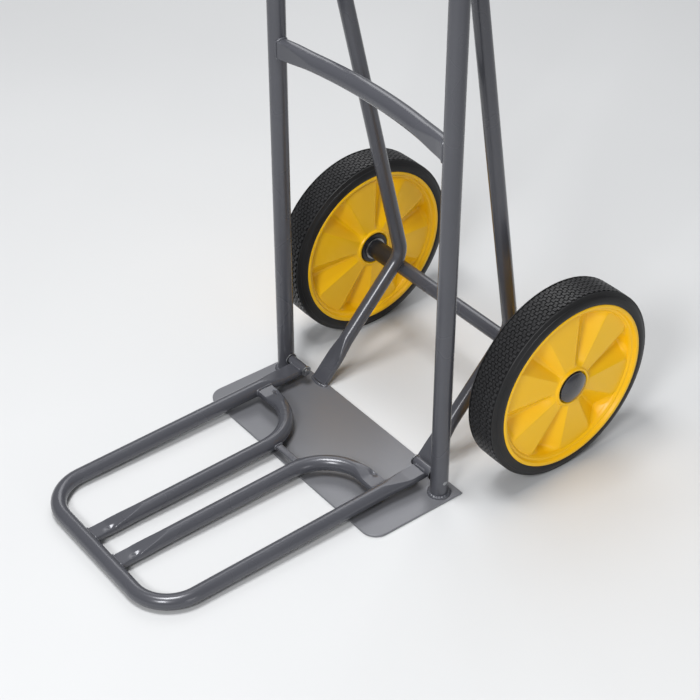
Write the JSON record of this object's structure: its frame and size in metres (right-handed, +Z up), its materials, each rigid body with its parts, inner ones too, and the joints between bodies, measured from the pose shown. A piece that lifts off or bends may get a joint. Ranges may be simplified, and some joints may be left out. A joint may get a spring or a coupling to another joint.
{
  "type": "hand truck",
  "caption": "Upright hand truck of bent steel tube with a sheet toe plate, a fold-up tubular rack, solid-tyred wheels and swept-back handles.",
  "frame": {"origin": "on the floor under the toe plate, midway between the two uprights and in the plane of their centre lines", "axes": "+Z up along the uprights, +X to the right-hand wheel, -Y out over the toe plate and rack, +Y back to the axle"},
  "size_m": [0.439, 0.6692, 1.0986],
  "materials": {
    "frame_coat": "grey powder coat, satin",
    "plate_coat": "grey powder coat on flat sheet, satin",
    "zinc_steel": "zinc plated",
    "rim_plastic": "moulded, glossy yellow",
    "tyre_rubber": "solid rubber, matte",
    "black_plastic": "moulded nylon, satin",
    "grip_rubber": "moulded rubber, matte"
  },
  "bodies": {
    "frame": {"axle_tube": "frame_coat", "left_axle_ring": "zinc_steel", "left_axle_spacer": "black_plastic", "left_axle_washer": "zinc_steel", "left_brace": "frame_coat", "left_grip": "grip_rubber", "left_hinge_pin": "zinc_steel", "left_hinge_retainer": "zinc_steel", "left_hinge_washer": "zinc_steel", "left_upright": "frame_coat", "lower_crossbar": "frame_coat", "middle_crossbar": "frame_coat", "right_axle_ring": "zinc_steel", "right_axle_spacer": "black_plastic", "right_axle_washer": "zinc_steel", "right_brace": "frame_coat", "right_grip": "grip_rubber", "right_hinge_pin": "zinc_steel", "right_hinge_retainer": "zinc_steel", "right_hinge_washer": "zinc_steel", "right_upright": "frame_coat", "toe_plate": "plate_coat", "upper_crossbar": "frame_coat"},
    "rack": {"left_hinge_sleeve": "frame_coat", "left_inner_tube": "frame_coat", "rack_frame": "frame_coat", "rack_strap": "frame_coat", "right_hinge_sleeve": "frame_coat", "right_inner_tube": "frame_coat"},
    "left_wheel": {"left_hub_cap": "black_plastic", "left_inner_bush": "black_plastic", "left_outer_bush": "black_plastic", "left_rim": "rim_plastic", "left_tyre": "tyre_rubber"},
    "right_wheel": {"right_hub_cap": "black_plastic", "right_inner_bush": "black_plastic", "right_outer_bush": "black_plastic", "right_rim": "rim_plastic", "right_tyre": "tyre_rubber"}
  },
  "joints": [
    {"name": "rack_fold", "type": "hinge", "parent": "frame", "child": "rack", "pos_m": [0, 0, 0.024], "axis": [-1, 0, 0], "range_deg": [0, 95]},
    {"name": "left_wheel_spin", "type": "hinge", "parent": "frame", "child": "left_wheel", "pos_m": [-0.1885, 0.154, 0.125], "axis": [1, 0, 0], "continuous": true},
    {"name": "right_wheel_spin", "type": "hinge", "parent": "frame", "child": "right_wheel", "pos_m": [0.1885, 0.154, 0.125], "axis": [1, 0, 0], "continuous": true}
  ]
}
